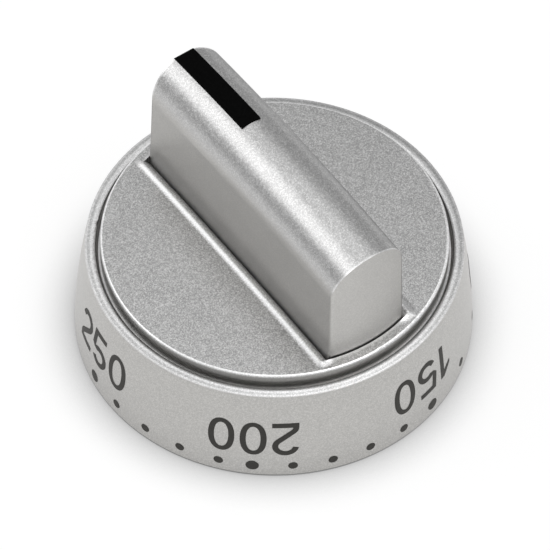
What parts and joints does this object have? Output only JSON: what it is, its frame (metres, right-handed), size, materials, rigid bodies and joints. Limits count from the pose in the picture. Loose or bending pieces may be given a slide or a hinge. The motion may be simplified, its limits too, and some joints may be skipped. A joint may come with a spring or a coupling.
{
  "type": "oven control knob",
  "caption": "Round oven control knob with a conical dial skirt, a raised face disc and an arched grip bar with a dark pointer inlay, bored for a flatted shaft.",
  "frame": {"origin": "on the shaft axis, in the plane of the dial skirt's lower edge", "axes": "+Z along the shaft axis, out of the appliance's panel; +Y along the grip bar, towards its dark pointer end"},
  "size_m": [0.046, 0.046, 0.0305],
  "materials": {
    "silver_ring": "satin silver metallic paint, fine",
    "silver_face": "satin silver metallic paint, coarse sparkle",
    "silver_grip": "satin silver metallic paint, coarse sparkle",
    "black_inlay": "black, semi-gloss",
    "spring_steel": "plain spring steel"
  },
  "bodies": {
    "root": {"dial_skirt": "silver_ring", "face_disc": "silver_face", "grip_bar": "silver_grip", "pointer_inlay": "black_inlay", "shaft_spring": "spring_steel"}
  },
  "joints": []
}
